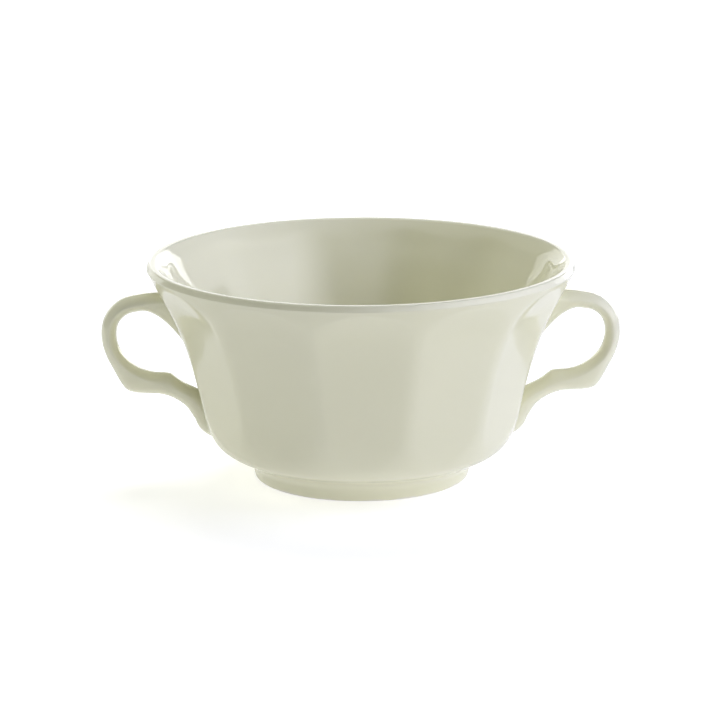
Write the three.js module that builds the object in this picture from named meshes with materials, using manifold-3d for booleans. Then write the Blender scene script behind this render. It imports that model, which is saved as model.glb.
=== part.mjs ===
// Two-handled consommé cup in ivory glazed porcelain.
// A twelve-panelled bowl with a flared lip, a foot ring and two ear handles,
// four clay pieces that are stuck together with slip before glazing.
// Millimetres, +Z up. The origin is on the cup's axis, at the level it stands on,
// and the handles lie along X, each on the middle of a panel.

import * as THREE from 'three';
import { mergeVertices } from 'three/addons/utils/BufferGeometryUtils.js';
import Module from 'manifold-3d';

const { degToRad, lerp, clamp, smoothstep } = THREE.MathUtils;

// Lip and the round band under it
const CUP_HEIGHT = 61.5; // top of the lip
const RIM_RADIUS = 59.5; // outer edge of the lip
const LIP_FACE = 1.6; // height of the lip's outer face
const LIP_LEAN = 0.75; // how far that face leans in
const LIP_WIDTH = 2.45; // thickness of the lip, at the foot of that face
const LIP_EDGE_ROUNDING = 0.6; // how far from its corner each edge of the top starts to turn
const LIP_FLARE = degToRad(25.6); // lean of the band under the lip, from upright
const INNER_FLARE = degToRad(40); // lean of the inside under the lip

// Panels of the bowl
const PANEL_COUNT = 12;
const PANEL_EDGE_RADIUS = 9.5; // rounding of the upright edges outside
const INSIDE_EDGE_RADIUS = 15; // softer rounding of the same edges inside
const ARCH_PEAK_DROP = 3.0; // lip top to the crown of a panel's arch
const ARCH_CUSP_DROP = 7.0; // lip top to the cusp between two arches
const COVE_HEIGHT = 8.5; // the panel curves out to the band over this height
const PANEL_FADE_TOP = 20; // the panels melt into the round bottom from here
const PANEL_FADE_BOTTOM = 8; // down to here

// Wall and bottom of the bowl
const TURN_HEIGHT = 18; // upper end of the bottom curve
const TURN_RADIUS = 43.3; // axis to panel at that height
const WALL_TAPER = degToRad(11.3); // lean of the wall there, from upright
const FLARE_ANGLE = degToRad(28.8); // lean of the panels at the cusps
const SEAT_RISE = degToRad(19); // rise of the bottom curve there, from level
const TURN_LOWER_PULL = 10.3; // how far the bottom curve keeps its first direction
const TURN_UPPER_PULL = 8.2; // how far it keeps its last direction
const WALL_THICKNESS = 3.4;
const FLOOR_THICKNESS = 3.8;
const FLOOR_RADIUS = 22; // flat part of the floor inside

// Foot ring
const FOOT_HEIGHT = 5.6; // level of the bowl's underside
const FOOT_RADIUS = 30;
const FOOT_WALL = 4.2;
const FOOT_EDGE_RADIUS = 0.8; // rounding of the edges it stands on
const FOOT_FILLET_HEIGHT = 1.6; // outer curve under the bowl's seat
const FOOT_FILLET_REACH = 1.2; // how far that curve spreads past the foot's wall

// Handles
const HANDLE_STAND_OFF = 21.2; // wall to the middle of the strap, at its widest
const UPPER_ROOT_DROP = 11.4; // lip top to the middle of the upper root
const LOWER_ROOT_HEIGHT = 18.5; // middle of the lower root
const LOOP_THICKNESS = 4.15; // of the strap, half way round
const ARM_THICKNESS = 5.0; // of the strap, at its roots
const STRAP_WIDTH = 7.6;
const STRAP_FULLNESS = 1.4; // power of the section's curve: 1 is an ellipse, more makes sharper sides
const ROOT_WIDENING = 2.4; // extra width at the wall, on each side
const UPPER_ROOT_FLARE = 16.5; // spread of the upper root down the wall
const UPPER_ROOT_RUN = 16.5; // and the length of strap over which it dies away
const UPPER_ROOT_CROWN = 3.7; // spread of the upper root up the wall
const UPPER_CROWN_RUN = 12;
const LOWER_ROOT_FLARE = 5.0; // spread of the lower root up the wall
const LOWER_ROOT_RUN = 24;
const HEEL_SHARE = 0.894; // place of the lower root's heel, as a share of the strap's length
const HEEL_HEIGHT = 1.5; // swelling of the strap's underside where it meets the wall
const HEEL_RISE = 17;
const HEEL_FALL = 9;
const FLARE_FADE = 1.8; // power of every spread's dying away
const SPUR_SHARE = 0.566; // place of the spur, as a share of the strap's length
const SPUR_HEIGHT = 3.0; // spur under the loop, where a finger rests
const SPUR_RISE = 6.8; // its slope on the loop's side
const SPUR_FALL = 9.5; // its slope on the arm's side
const BUMP_SHARE = 0.68; // place of the bead, as a share of the strap's length
const BUMP_HEIGHT = 1.2; // bead on the lower arm, inside the loop
const BUMP_RISE = 6;
const BUMP_FALL = 3.4;
const RIDGE_DROP = 2; // e to minus this is what is left of a ridge at the end of its slope
const RIDGE_FADE = 1.6; // power of a ridge's dying away
const ROOT_DEPTH = 8; // the strap starts this far inside the wall
const LOWER_ROOT_DEPTH = 8.4; // and ends this far inside it
const LOWER_ROOT_DIP = 7.8; // and this far below the lower root's middle

const JOINT_GAP = 0.3; // slip between two pieces

// Fineness of the facets
const PANEL_COLUMNS = [-0.8, -0.4, 0, 0.4, 0.8, 0.9, 1, 1.1]; // shares of half a panel
const BOTTOM_ROWS = 9;
const WALL_ROWS = 7;
const ARCH_ROWS = 6;
const LIP_EDGE_STEPS = 2;
const INSIDE_ROWS = 12;
const INSIDE_BOTTOM_ROWS = 8;
const FOOT_SEGMENTS = 60;
const FOOT_CURVE_STEPS = 3;
const STRAP_STATIONS = 52;
const STRAP_SIDES = 14;

const IVORY_GLAZE = { color: 0xe6e4d3, roughness: 0.16, metalness: 0 };

const halfPanel = Math.PI / PANEL_COUNT;
const bandTop = CUP_HEIGHT - LIP_FACE;
const innerBandTop = CUP_HEIGHT - LIP_EDGE_ROUNDING * Math.cos(INNER_FLARE);
const peakHeight = CUP_HEIGHT - ARCH_PEAK_DROP;
const cuspHeight = CUP_HEIGHT - ARCH_CUSP_DROP;
const coveStart = cuspHeight - COVE_HEIGHT;
const cuspApothem = apothemOfCorner(bandRadius(cuspHeight), PANEL_EDGE_RADIUS);
const floorHeight = FOOT_HEIGHT + FLOOR_THICKNESS;
const seatRadius = FOOT_RADIUS + FOOT_FILLET_REACH;

// Direction in a section of the cup: 0 is outward and a quarter turn is up.
function direction(angle) {
  return new THREE.Vector2(Math.cos(angle), Math.sin(angle));
}

// Section of the lip: the foot of its outer face, its rounded outer edge and its rounded inner edge.
function lipPoints() {
  const foot = new THREE.Vector2(RIM_RADIUS, bandTop);
  const outer = new THREE.Vector2(RIM_RADIUS - LIP_LEAN, CUP_HEIGHT);
  const inner = new THREE.Vector2(RIM_RADIUS - LIP_WIDTH, CUP_HEIGHT);
  const face = foot.clone().sub(outer).setLength(LIP_EDGE_ROUNDING).add(outer);
  const slope = direction(Math.PI / 2 - INNER_FLARE).multiplyScalar(-LIP_EDGE_ROUNDING).add(inner);
  const level = new THREE.Vector2(LIP_EDGE_ROUNDING, 0);
  const outerEdge = new THREE.QuadraticBezierCurve(face, outer, outer.clone().sub(level));
  const innerEdge = new THREE.QuadraticBezierCurve(inner.clone().add(level), inner, slope);
  return [foot, ...outerEdge.getPoints(LIP_EDGE_STEPS), ...innerEdge.getPoints(LIP_EDGE_STEPS)];
}

// Radius of the straight round band under the lip, outside and inside.
function bandRadius(height) {
  return RIM_RADIUS - (bandTop - height) * Math.tan(LIP_FLARE);
}

function innerBandRadius(height) {
  return RIM_RADIUS - LIP_WIDTH - (CUP_HEIGHT - height) * Math.tan(INNER_FLARE);
}

// Angle from the middle of the nearest panel.
function offPanel(angle) {
  return Math.abs(angle - Math.round(angle / (2 * halfPanel)) * 2 * halfPanel);
}

// Outline of the panelled bowl at one height: a regular polygon with rounded corners.
// An edge radius equal to the apothem makes it a circle.
function panelRadius(apothem, edgeRadius, angle) {
  const off = offPanel(angle);
  const flatHalf = Math.atan(((apothem - edgeRadius) * Math.tan(halfPanel)) / apothem);
  if (off <= flatHalf) return apothem / Math.cos(off);
  const cornerCentre = (apothem - edgeRadius) / Math.cos(halfPanel);
  const swing = halfPanel - off;
  const side = cornerCentre * Math.sin(swing);
  return cornerCentre * Math.cos(swing) + Math.sqrt(edgeRadius ** 2 - side ** 2);
}

// Apothem of the panels whose rounded corner lies at a given radius.
function apothemOfCorner(cornerRadius, edgeRadius) {
  return cornerRadius * Math.cos(halfPanel) + edgeRadius * (1 - Math.cos(halfPanel));
}

// Apothem of the wall above the bottom curve: a cubic that leaves the bottom curve at the wall's
// taper and reaches the cusps at the flare, then goes straight on.
function wallApothem(height) {
  const rise = cuspHeight - TURN_HEIGHT;
  const t = (height - TURN_HEIGHT) / rise;
  if (t < 0) return TURN_RADIUS + t * rise * Math.tan(WALL_TAPER);
  if (t > 1) return cuspApothem + (t - 1) * rise * Math.tan(FLARE_ANGLE);
  const fromTurn = (1 + 2 * t) * TURN_RADIUS + t * rise * Math.tan(WALL_TAPER);
  const fromCusp = (3 - 2 * t) * cuspApothem - (1 - t) * rise * Math.tan(FLARE_ANGLE);
  return (1 - t) ** 2 * fromTurn + t ** 2 * fromCusp;
}

// Edge rounding of the panels, growing to a full circle towards the bottom.
function edgeRadiusAt(apothem, height, edgeRadius) {
  return lerp(apothem, edgeRadius, smoothstep(height, PANEL_FADE_BOTTOM, PANEL_FADE_TOP));
}

// Bottom curve, outside, from the foot ring's seat to the wall.
function bottomCurve() {
  const seat = new THREE.Vector2(seatRadius, FOOT_HEIGHT);
  const turn = new THREE.Vector2(TURN_RADIUS, TURN_HEIGHT);
  const leave = direction(SEAT_RISE).multiplyScalar(TURN_LOWER_PULL);
  const arrive = direction(Math.PI / 2 - WALL_TAPER).multiplyScalar(TURN_UPPER_PULL);
  return new THREE.CubicBezierCurve(seat, seat.clone().add(leave), turn.clone().sub(arrive), turn);
}

// Top line of the arches: a parabola over each panel, meeting its neighbours in cusps.
function archHeight(angle) {
  return lerp(peakHeight, cuspHeight, (offPanel(angle) / halfPanel) ** 2);
}

// Radius of the outside at a height of the wall: flat panels that curve out under the arches.
function wallRadius(angle, height) {
  const edgeRadius = edgeRadiusAt(wallApothem(height), height, PANEL_EDGE_RADIUS);
  const panel = panelRadius(wallApothem(height), edgeRadius, angle);
  const cove = clamp((height - archHeight(angle)) / COVE_HEIGHT + 1, 0, 1);
  return lerp(panel, bandRadius(height), cove ** 2);
}

// Inside apothem: the wall's thickness is measured square to its lean.
function insideApothem(height) {
  const step = WALL_THICKNESS;
  const lean = (wallApothem(height + step) - wallApothem(height - step)) / (2 * step);
  return wallApothem(height) - WALL_THICKNESS * Math.hypot(1, lean);
}

// Radius of the inside: soft panels that become round under the lip.
function insideRadius(angle, height) {
  const apothem = insideApothem(height);
  const panel = panelRadius(apothem, edgeRadiusAt(apothem, height, INSIDE_EDGE_RADIUS), angle);
  return lerp(panel, innerBandRadius(height), smoothstep(height, coveStart, innerBandTop));
}

// Bottom curve inside, from the wall down to the flat floor.
function insideBottomCurve() {
  const topHeight = TURN_HEIGHT + WALL_THICKNESS;
  const top = new THREE.Vector2(insideApothem(topHeight), topHeight);
  const floor = new THREE.Vector2(FLOOR_RADIUS, floorHeight);
  const leave = direction(Math.PI / 2 - WALL_TAPER).multiplyScalar(TURN_UPPER_PULL);
  const arrive = new THREE.Vector2(TURN_LOWER_PULL, 0);
  return new THREE.CubicBezierCurve(top, top.clone().sub(leave), floor.clone().add(arrive), floor);
}

// Steps from 0 to 1 without the first one.
function steps(count) {
  return Array.from({ length: count }, (_, i) => (i + 1) / count);
}

// Rows of the outside up to the band: each row gives radius and height for an angle.
function outsideRows() {
  const bottom = bottomCurve();
  const bottomRows = [0, ...steps(BOTTOM_ROWS)].map((t) => (angle) => {
    const { x: apothem, y: height } = bottom.getPoint(t);
    const edgeRadius = edgeRadiusAt(apothem, height, PANEL_EDGE_RADIUS);
    return [panelRadius(apothem, edgeRadius, angle), height];
  });
  const wallRows = steps(WALL_ROWS).map((t) => (angle) => {
    const height = lerp(TURN_HEIGHT, coveStart, t);
    return [wallRadius(angle, height), height];
  });
  const archRows = steps(ARCH_ROWS).map((t) => (angle) => {
    const height = lerp(coveStart, archHeight(angle), t);
    return [wallRadius(angle, height), height];
  });
  return [...bottomRows, ...wallRows, ...archRows];
}

// Rows of the band and of the lip.
function lipRows() {
  const bandRow = (angle) => {
    const height = (archHeight(angle) + bandTop) / 2;
    return [bandRadius(height), height];
  };
  const edgeRows = lipPoints().map((point) => () => point.toArray());
  return [bandRow, ...edgeRows];
}

// Rows of the inside, from the lip down to the floor.
function insideRows() {
  const bottom = insideBottomCurve();
  const wallRows = steps(INSIDE_ROWS).map((t) => (angle) => {
    const height = lerp(innerBandTop, bottom.v0.y, t);
    return [insideRadius(angle, height), height];
  });
  const bottomRows = steps(INSIDE_BOTTOM_ROWS).map((t) => (angle) => {
    const { x: apothem, y: height } = bottom.getPoint(t);
    return [panelRadius(apothem, edgeRadiusAt(apothem, height, INSIDE_EDGE_RADIUS), angle), height];
  });
  return [...wallRows, ...bottomRows];
}

// All columns of the bowl, counter-clockwise from above.
function columnAngles() {
  const panels = Array.from({ length: PANEL_COUNT }, (_, i) => i * 2 * halfPanel);
  return panels.flatMap((middle) => PANEL_COLUMNS.map((share) => middle + share * halfPanel));
}

// Closed skin through rows of points, from a pole below the first row to a pole after the last one.
function skin(rows, firstPole, lastPole) {
  const width = rows[0].length;
  const positions = [firstPole, ...rows.flat(), lastPole].flat();
  const index = [];
  const at = (row, column) => 1 + row * width + (column % width);
  for (let column = 0; column < width; column++) {
    index.push(0, at(0, column + 1), at(0, column));
    for (let row = 0; row + 1 < rows.length; row++) {
      const [a, b] = [at(row, column), at(row, column + 1)];
      const [c, d] = [at(row + 1, column), at(row + 1, column + 1)];
      index.push(a, b, d, a, d, c);
    }
    index.push(at(rows.length - 1, column), at(rows.length - 1, column + 1), at(rows.length, 0));
  }
  const geometry = new THREE.BufferGeometry();
  geometry.setAttribute('position', new THREE.Float32BufferAttribute(positions, 3));
  geometry.setIndex(index);
  geometry.computeVertexNormals();
  return geometry;
}

// Skin of a bowl-like form about the axis, grown outwards by a gap.
function roundSkin(rows, firstHeight, lastHeight, gap) {
  const angles = columnAngles();
  const points = rows.map((row) => angles.map((angle) => {
    const [radius, height] = row(angle);
    return [(radius + gap) * Math.cos(angle), (radius + gap) * Math.sin(angle), height];
  }));
  return skin(points, [0, 0, firstHeight], [0, 0, lastHeight]);
}

function bowlGeometry() {
  const rows = [...outsideRows(), ...lipRows(), ...insideRows()];
  return roundSkin(rows, FOOT_HEIGHT, floorHeight, 0);
}

// The bowl's outside as a full body, one joint gap larger, to cut the handles' roots to its wall.
function wallCutter() {
  const rows = [...outsideRows(), ...lipRows().slice(0, 2)];
  return roundSkin(rows, FOOT_HEIGHT, bandTop, JOINT_GAP);
}

// Foot ring: a turned section with a flat land to stand on and a curve out to the bowl's seat.
function footGeometry() {
  const top = FOOT_HEIGHT - JOINT_GAP;
  const inner = FOOT_RADIUS - FOOT_WALL;
  const edge = FOOT_EDGE_RADIUS;
  const section = new THREE.Shape();
  section.moveTo(inner + edge, 0);
  section.lineTo(FOOT_RADIUS - edge, 0);
  section.quadraticCurveTo(FOOT_RADIUS, 0, FOOT_RADIUS, edge);
  section.lineTo(FOOT_RADIUS, top - FOOT_FILLET_HEIGHT);
  section.quadraticCurveTo(FOOT_RADIUS, top, seatRadius, top);
  section.lineTo(inner, top);
  section.lineTo(inner, edge);
  section.quadraticCurveTo(inner, 0, inner + edge, 0);
  const geometry = new THREE.LatheGeometry(section.getPoints(FOOT_CURVE_STEPS), FOOT_SEGMENTS);
  return geometry.rotateX(Math.PI / 2);
}

// Middle line of the strap in the plane of the handle, from inside the wall at the upper root, round
// the loop and along the lower arm to inside the wall again. Each point is a share of the stand-off
// from the wall, and a share of the height between the two roots.
function strapLine() {
  const upper = CUP_HEIGHT - UPPER_ROOT_DROP;
  const shape = [
    [0.15, 0.997],
    [0.41, 0.984],
    [0.65, 0.945],
    [0.87, 0.84],
    [1.0, 0.69],
    [1.02, 0.537],
    [0.945, 0.422],
    [0.81, 0.336],
    [0.635, 0.281],
    [0.475, 0.247],
    [0.31, 0.198],
    [0.13, 0.11],
    [0.017, -0.013],
    [-0.055, -0.13],
  ];
  const place = ([out, up]) => {
    const height = lerp(LOWER_ROOT_HEIGHT, upper, up);
    return new THREE.Vector3(wallApothem(height) + out * HANDLE_STAND_OFF, 0, height);
  };
  const upperStart = new THREE.Vector3(wallApothem(upper) - ROOT_DEPTH, 0, upper);
  const lowerDepth = wallApothem(LOWER_ROOT_HEIGHT) - LOWER_ROOT_DEPTH;
  const lowerEnd = new THREE.Vector3(lowerDepth, 0, LOWER_ROOT_HEIGHT - LOWER_ROOT_DIP);
  return new THREE.CatmullRomCurve3([upperStart, ...shape.map(place), lowerEnd], false, 'catmullrom');
}

// A spread that dies away smoothly with the distance from a root.
function flare(distance, depth, run) {
  return depth * Math.max(0, 1 - distance / run) ** FLARE_FADE;
}

// A rounded ridge across the strap, with a slope of its own on each side.
function ridge(distance, height, rise, fall) {
  const slope = distance < 0 ? rise : fall;
  return height * Math.exp(-RIDGE_DROP * Math.abs(distance / slope) ** RIDGE_FADE);
}

// One handle at +X: a lens-shaped strap swept round the loop, with both ends inside the wall.
function strapGeometry() {
  const line = strapLine();
  const length = line.getLength();
  const sections = [0, ...steps(STRAP_STATIONS)].map((t) => {
    const middle = line.getPointAt(t);
    const along = line.getTangentAt(t);
    const outward = new THREE.Vector3(-along.z, 0, along.x);
    const done = t * length;
    const left = length - done;
    const half = lerp(ARM_THICKNESS, LOOP_THICKNESS, Math.sin(Math.PI * t) ** 2) / 2;
    const crown = flare(done, UPPER_ROOT_CROWN, UPPER_CROWN_RUN);
    const spur = ridge(done - SPUR_SHARE * length, SPUR_HEIGHT, SPUR_RISE, SPUR_FALL);
    const upperSpread = flare(done, UPPER_ROOT_FLARE, UPPER_ROOT_RUN);
    const lowerSpread = flare(left, LOWER_ROOT_FLARE, LOWER_ROOT_RUN);
    const bump = ridge(done - BUMP_SHARE * length, BUMP_HEIGHT, BUMP_RISE, BUMP_FALL);
    const heel = ridge(done - HEEL_SHARE * length, HEEL_HEIGHT, HEEL_RISE, HEEL_FALL);
    const outer = half + crown + spur + heel;
    const inner = half + upperSpread + lowerSpread + bump;
    const width = STRAP_WIDTH / 2 + flare(Math.min(done, left), ROOT_WIDENING, UPPER_ROOT_RUN);
    return Array.from({ length: STRAP_SIDES }, (_, i) => {
      const turn = (i / STRAP_SIDES) * 2 * Math.PI;
      const reach = Math.cos(turn) > 0 ? outer : -inner;
      const depth = reach * Math.abs(Math.cos(turn)) ** STRAP_FULLNESS;
      return middle.clone().addScaledVector(outward, depth).setY(-width * Math.sin(turn)).toArray();
    });
  });
  return skin(sections, line.getPointAt(0).toArray(), line.getPointAt(1).toArray());
}

const wasm = await Module();
wasm.setup();

// A closed geometry as a solid, by its places alone.
function solidOf(geometry) {
  const bare = geometry.clone();
  bare.deleteAttribute('normal');
  bare.deleteAttribute('uv');
  const merged = mergeVertices(bare);
  return new wasm.Manifold(new wasm.Mesh({
    numProp: 3,
    vertProperties: new Float32Array(merged.attributes.position.array),
    triVerts: new Uint32Array(merged.index.array),
  }));
}

function geometryOf(solid) {
  const mesh = solid.getMesh();
  const geometry = new THREE.BufferGeometry();
  geometry.setAttribute('position', new THREE.Float32BufferAttribute(mesh.vertProperties, 3));
  geometry.setIndex([...mesh.triVerts]);
  geometry.computeVertexNormals();
  return geometry;
}

function piece(name, geometry) {
  const mesh = new THREE.Mesh(geometry, new THREE.MeshStandardMaterial(IVORY_GLAZE));
  mesh.name = name;
  return mesh;
}

const wall = solidOf(wallCutter());

// A strap with its roots cut to the bowl's wall.
function handleGeometry(strap) {
  return geometryOf(solidOf(strap).subtract(wall));
}

const cup = new THREE.Group();
cup.add(piece('cup_bowl', bowlGeometry()));
cup.add(piece('foot_ring', footGeometry()));
cup.add(piece('handle_right', handleGeometry(strapGeometry())));
cup.add(piece('handle_left', handleGeometry(strapGeometry().rotateZ(Math.PI))));

export default cup;
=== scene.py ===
"""Looks of a two-handled consommé cup in ivory glazed porcelain.

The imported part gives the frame. Each clay piece of the cup is a class that works out its fine
surface with numpy, from the same sizes as the solid that it stands for, and dresses it in glaze.
Sizes and points are in millimetres, and become metres when a mesh is made.
"""

import logging
import math
from dataclasses import dataclass, field
from enum import Enum

import bpy
import numpy as np
from mathutils import Matrix, Vector


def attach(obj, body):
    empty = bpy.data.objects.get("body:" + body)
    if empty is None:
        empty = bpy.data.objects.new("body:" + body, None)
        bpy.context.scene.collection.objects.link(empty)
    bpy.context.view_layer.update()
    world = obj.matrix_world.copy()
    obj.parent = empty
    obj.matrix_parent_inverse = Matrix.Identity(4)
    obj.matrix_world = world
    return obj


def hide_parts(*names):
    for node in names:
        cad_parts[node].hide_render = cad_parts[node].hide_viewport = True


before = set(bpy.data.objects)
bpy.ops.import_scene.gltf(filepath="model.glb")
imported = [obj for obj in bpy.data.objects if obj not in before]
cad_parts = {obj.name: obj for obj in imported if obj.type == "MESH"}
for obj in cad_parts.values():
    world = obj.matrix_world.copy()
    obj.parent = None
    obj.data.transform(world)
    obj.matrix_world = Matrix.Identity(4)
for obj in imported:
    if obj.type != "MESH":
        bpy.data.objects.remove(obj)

log = logging.getLogger("consomme_cup")

MM = 0.001
BODY = "root"
POOLING_AND_LIGHT = "pooling_and_light"
CURVE_STEPS = 400
HALVINGS = 40
SMALLEST_AREA = 1e-9
NOISE_LOW, NOISE_HIGH = 0.3, 0.7
WHITE = (1.0, 1.0, 1.0, 1.0)
EYE_RAYS = ("Is Camera Ray", "Is Transmission Ray")

Span = tuple[float, float]
Place = tuple[float, float, float]
Colour = tuple[float, float, float]
Node = bpy.types.Node
Socket = bpy.types.NodeSocket


def smoothstep(value: np.ndarray, low: float, high: float) -> np.ndarray:
    """Smooth ramp from 0 at low to 1 at high: three times the square less twice the cube."""
    t = np.clip((value - low) / (high - low), 0.0, 1.0)
    return t * t * (3.0 - 2.0 * t)


def bezier(corners: np.ndarray, t: np.ndarray) -> np.ndarray:
    """Cubic Bézier curve: the four corners weighted by the cubic Bernstein terms of t.

    Args:
        corners: Four points, one to a row.
        t: Parameters from 0 to 1.

    Returns:
        One point to a row for each parameter.
    """
    s = 1.0 - t
    weights = np.stack([s**3, 3 * s * s * t, 3 * s * t * t, t**3], axis=-1)
    return weights @ corners


def arc(centre: Span, radius: float, start: float, end: float, count: int) -> np.ndarray:
    """Circular arc in a section, by equal steps of its angle in degrees from outward towards up."""
    turn = np.radians(np.linspace(start, end, count))
    return np.array(centre) + radius * np.stack([np.cos(turn), np.sin(turn)], axis=-1)


def toward(corner: np.ndarray, goal: np.ndarray, distance: float) -> np.ndarray:
    """Point at a distance from a corner on the straight line to a goal."""
    return corner + distance * (goal - corner) / np.linalg.norm(goal - corner)


def parabola(start: np.ndarray, corner: np.ndarray, end: np.ndarray, count: int) -> np.ndarray:
    """Rounded corner: the three points weighted by the quadratic Bernstein terms of equal steps."""
    t = np.linspace(0.0, 1.0, count)[:, None]
    return (1.0 - t) ** 2 * start + 2.0 * t * (1.0 - t) * corner + t**2 * end


def angles_round(columns: int) -> np.ndarray:
    """Equal angles once round, without a repeat of the first, as one row."""
    return np.linspace(0.0, 2.0 * math.pi, columns, endpoint=False)[None, :]


def turned(radius: np.ndarray, angle: np.ndarray, z: np.ndarray) -> np.ndarray:
    """Points round the axis: the radius by the cosine and the sine of the angle, and the height."""
    return np.stack(np.broadcast_arrays(radius * np.cos(angle), radius * np.sin(angle), z), axis=-1)


def even_steps(path: np.ndarray, count: int, endpoint: bool = True) -> tuple[np.ndarray, float]:
    """Path resampled at equal steps of its length.

    Args:
        path: Points of radius and height, one to a row.
        count: Number of points asked for.
        endpoint: Whether the path's last point is one of them.

    Returns:
        The resampled points, one to a row, and the path's length.
    """
    run = np.concatenate([[0.0], np.cumsum(np.linalg.norm(np.diff(path, axis=0), axis=1))])
    at = np.linspace(0.0, run[-1], count, endpoint=endpoint)
    return np.stack([np.interp(at, run, side) for side in path.T], axis=-1), float(run[-1])


def mean_curvature(points: np.ndarray, ring: bool) -> np.ndarray:
    """Half the divergence of the unit normal over a grid: positive on edges, negative in hollows.

    Args:
        points: Grid of points whose columns wrap round.
        ring: Whether the rows wrap round too.

    Returns:
        The mean curvature at each grid point, in 1/mm.
    """

    def along(values: np.ndarray) -> np.ndarray:
        """Difference over two rows."""
        if ring:
            return np.roll(values, -1, axis=0) - np.roll(values, 1, axis=0)
        return 2.0 * np.gradient(values, axis=0)

    def across(values: np.ndarray) -> np.ndarray:
        """Difference over two columns."""
        return np.roll(values, -1, axis=1) - np.roll(values, 1, axis=1)

    normal = np.cross(across(points), along(points))
    area = np.maximum(np.linalg.norm(normal, axis=-1, keepdims=True), SMALLEST_AREA)
    normal = normal / area
    spread = np.cross(across(normal), along(points)) + np.cross(across(points), along(normal))
    return np.sum(spread * normal, axis=-1) / (2.0 * area[..., 0])


def blur(values: np.ndarray, passes: int, ring: bool) -> np.ndarray:
    """Grid values averaged with their neighbours, several times over.

    Args:
        values: Grid of values whose columns wrap round.
        passes: How many times to average.
        ring: Whether the rows wrap round too.

    Returns:
        The softened grid.
    """
    for _ in range(passes):
        rows = np.pad(values, ((1, 1), (0, 0)), mode="wrap" if ring else "edge")
        values = (rows[:-2] + 2.0 * rows[1:-1] + rows[2:]) / 4.0
        values = (np.roll(values, 1, axis=1) + 2.0 * values + np.roll(values, -1, axis=1)) / 4.0
    return values


@dataclass(frozen=True)
class GlazeFlow:
    """How the glaze gathers on one piece.

    The neutral value is the mean curvature, in 1/mm, at which it lies plain, and the span is the
    curvature away from it at which it is thinnest or thickest. A neutral value below a piece's own
    curvature gives much of the piece the paler thin tone, which there is painted light. The passes
    are the grid steps over which it evens itself out.
    """

    neutral: float
    span: float
    passes: int

    def pooling_and_light(self, points: np.ndarray, ring: bool = False) -> np.ndarray:
        """How thick the glaze lies: 0 where it runs off an edge, 0.5 on a plain wall, 1 in a hollow; the thin
        end also paints light.
        """
        bend = np.clip((self.neutral - mean_curvature(points, ring)) / self.span, -1.0, 1.0)
        return 0.5 + 0.5 * blur(bend, self.passes, ring)


def surface(name: str, points: np.ndarray, pooling_and_light: np.ndarray, ring: bool = False) -> bpy.types.Object:
    """Smooth closed object through a grid of points, with its glaze thickness, which also carries painted
    light, as an attribute.

    The columns wrap round. The rows wrap too on a ring, and otherwise each end closes on a pole
    at the middle of its last row.

    Args:
        name: Name of the piece.
        points: Grid of points in millimetres, rows by columns by three.
        pooling_and_light: Glaze thickness at each grid point.
        ring: Whether the rows wrap round.

    Returns:
        The new object, at the origin.
    """
    rows, columns = points.shape[:2]
    here = np.arange(rows * columns).reshape(rows, columns)
    beside = np.roll(here, -1, axis=1)
    if ring:
        quads = np.stack([here, beside, np.roll(beside, -1, axis=0), np.roll(here, -1, axis=0)], axis=-1)
        places, amounts = points.reshape(-1, 3), pooling_and_light.ravel()
        fans = np.zeros((0, 3), dtype=int)
    else:
        quads = np.stack([here[:-1], beside[:-1], beside[1:], here[1:]], axis=-1)
        places = np.vstack([points.reshape(-1, 3), points[0].mean(axis=0), points[-1].mean(axis=0)])
        amounts = np.concatenate([pooling_and_light.ravel(), [pooling_and_light[0].mean(), pooling_and_light[-1].mean()]])
        first, last = np.full(columns, rows * columns), np.full(columns, rows * columns + 1)
        fans = np.vstack([
            np.stack([first, beside[0], here[0]], axis=-1),
            np.stack([here[-1], beside[-1], last], axis=-1),
        ])
    quads = quads.reshape(-1, 4)
    corners = np.concatenate([quads.ravel(), fans.ravel()])
    starts = np.concatenate([4 * np.arange(len(quads)), 4 * len(quads) + 3 * np.arange(len(fans))])
    mesh = bpy.data.meshes.new(name)
    mesh.vertices.add(len(places))
    mesh.vertices.foreach_set("co", (places * MM).astype(np.float32).ravel())
    mesh.loops.add(len(corners))
    mesh.loops.foreach_set("vertex_index", corners.astype(np.int32))
    mesh.polygons.add(len(starts))
    mesh.polygons.foreach_set("loop_start", starts.astype(np.int32))
    mesh.polygons.foreach_set("use_smooth", np.ones(len(starts), dtype=bool))
    mesh.update(calc_edges=True)
    mesh.validate()
    mesh.attributes.new(POOLING_AND_LIGHT, "FLOAT", "POINT").data.foreach_set("value", amounts.astype(np.float32))
    piece = bpy.data.objects.new(name, mesh)
    bpy.context.scene.collection.objects.link(piece)
    return piece


def seat(piece: bpy.types.Object, node: str, finish: bpy.types.Material) -> bpy.types.Object:
    """Lets a piece stand for its solid, ride on the cup and wear its finish.

    Args:
        piece: The new piece.
        node: Name of the solid that it stands for.
        finish: Material of the piece.

    Returns:
        The same piece.
    """
    piece.data.materials.append(finish)
    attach(piece, BODY)
    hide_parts(node)
    log.info("%s: %d faces, stands for %s", piece.name, len(piece.data.polygons), node)
    return piece


@dataclass(frozen=True)
class Grain:
    """Fineness of a noise: its cells to a metre, and how many finer layers lie on it."""

    scale: float
    detail: float


class Mixed(Enum):
    """What a mix node mixes: Blender's name of it, and the places of its two inputs and its output."""

    COLOUR = ("RGBA", 6, 7, 2)
    NUMBER = ("FLOAT", 2, 3, 0)


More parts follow.
